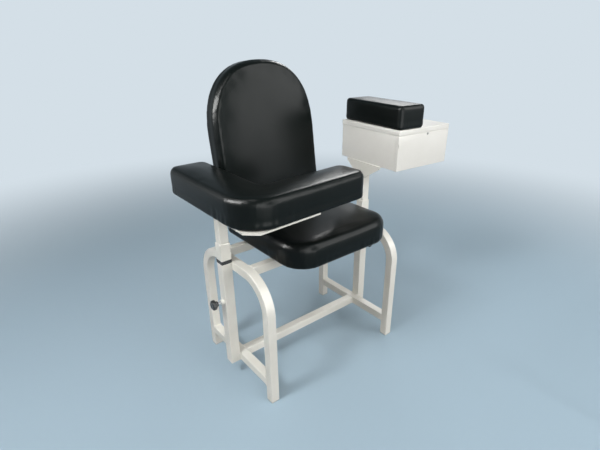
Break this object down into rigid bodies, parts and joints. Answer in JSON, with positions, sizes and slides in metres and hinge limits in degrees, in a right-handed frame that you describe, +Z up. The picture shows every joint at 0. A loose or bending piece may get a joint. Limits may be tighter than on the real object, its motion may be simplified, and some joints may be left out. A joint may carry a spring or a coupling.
{
  "type": "phlebotomy chair",
  "caption": "Blood-drawing chair: welded tube frame, padded seat and arched back, a height-adjustable swinging L-shaped arm pad and a swinging drawer box topped by a pad.",
  "frame": {"origin": "on the floor, midway between the two hoops and midway between their front and rear legs", "axes": "-Y is the direction that the sitter faces, +X is to the right in the picture, on the drawer box's side, and +Z is up"},
  "size_m": [0.927, 0.5114, 1.025],
  "materials": {
    "frame_paint": "gloss",
    "box_paint": "satin",
    "vinyl": "satin",
    "plywood": "matte",
    "black_plastic": "matte",
    "pale_plastic": "satin",
    "zinc_steel": "satin",
    "bright_steel": "polished"
  },
  "bodies": {
    "frame": {"left_hoop": "frame_paint", "right_hoop": "frame_paint", "left_side_rail": "frame_paint", "right_side_rail": "frame_paint", "stretcher": "frame_paint", "front_seat_rail": "frame_paint", "rear_seat_rail": "frame_paint", "left_mast_tube": "frame_paint", "right_mast_tube": "frame_paint", "foot_caps": "pale_plastic", "left_collar_bush": "black_plastic", "right_collar_bush": "black_plastic", "left_clamp_boss": "frame_paint", "right_clamp_boss": "frame_paint", "seat_board": "plywood", "seat_cushion": "vinyl", "seat_bolts": "zinc_steel", "left_back_upright": "frame_paint", "right_back_upright": "frame_paint", "back_board": "plywood", "back_cushion": "vinyl", "back_bolts": "zinc_steel"},
    "left_lift": {"left_lift_shaft": "bright_steel"},
    "left_arm": {"left_swivel_bush": "black_plastic", "left_head_sleeve": "frame_paint", "arm_post": "frame_paint", "arm_plate": "frame_paint", "arm_board": "plywood", "arm_pad": "vinyl", "arm_screws": "zinc_steel"},
    "right_lift": {"right_lift_shaft": "bright_steel"},
    "right_box": {"right_swivel_bush": "black_plastic", "right_head_sleeve": "frame_paint", "box_post": "frame_paint", "box_bracket": "frame_paint", "bracket_screws": "zinc_steel", "drawer_case": "box_paint", "case_lid": "box_paint", "case_runners": "zinc_steel", "box_pad_board": "plywood", "box_pad": "vinyl", "box_pad_screws": "zinc_steel"},
    "drawer": {"drawer_front": "box_paint", "drawer_tray": "box_paint", "drawer_screws": "zinc_steel", "drawer_runners": "zinc_steel"},
    "drawer_lock": {"lock_barrel": "bright_steel", "lock_cam": "zinc_steel"},
    "left_knob": {"left_knob": "black_plastic", "left_knob_stud": "zinc_steel"},
    "right_knob": {"right_knob": "black_plastic", "right_knob_stud": "zinc_steel"}
  },
  "joints": [
    {"name": "left_lift_slide", "type": "slide", "parent": "frame", "child": "left_lift", "axis": [0, 0, 1], "range_m": [0, 0.15]},
    {"name": "left_arm_swivel", "type": "hinge", "parent": "left_lift", "child": "left_arm", "pos_m": [-0.3095, 0, 0.46], "axis": [0, 0, 1], "range_deg": [-5, 30]},
    {"name": "right_lift_slide", "type": "slide", "parent": "frame", "child": "right_lift", "axis": [0, 0, 1], "range_m": [0, 0.15]},
    {"name": "right_box_swivel", "type": "hinge", "parent": "right_lift", "child": "right_box", "pos_m": [0.3095, 0, 0.46], "axis": [0, 0, 1], "range_deg": [-50, 75]},
    {"name": "drawer_slide", "type": "slide", "parent": "right_box", "child": "drawer", "axis": [-0.075, -0.9972, 0], "range_m": [0, 0.2]},
    {"name": "drawer_lock_turn", "type": "hinge", "parent": "drawer", "child": "drawer_lock", "pos_m": [0.42245, -0.18499, 0.7837], "axis": [-0.075, -0.9972, 0], "range_deg": [0, 90]},
    {"name": "left_knob_turn", "type": "hinge", "parent": "frame", "child": "left_knob", "pos_m": [-0.336, 0, 0.308], "axis": [-1, 0, 0], "range_deg": [0, 360]},
    {"name": "right_knob_turn", "type": "hinge", "parent": "frame", "child": "right_knob", "pos_m": [0.336, 0, 0.308], "axis": [1, 0, 0], "range_deg": [0, 360]}
  ]
}
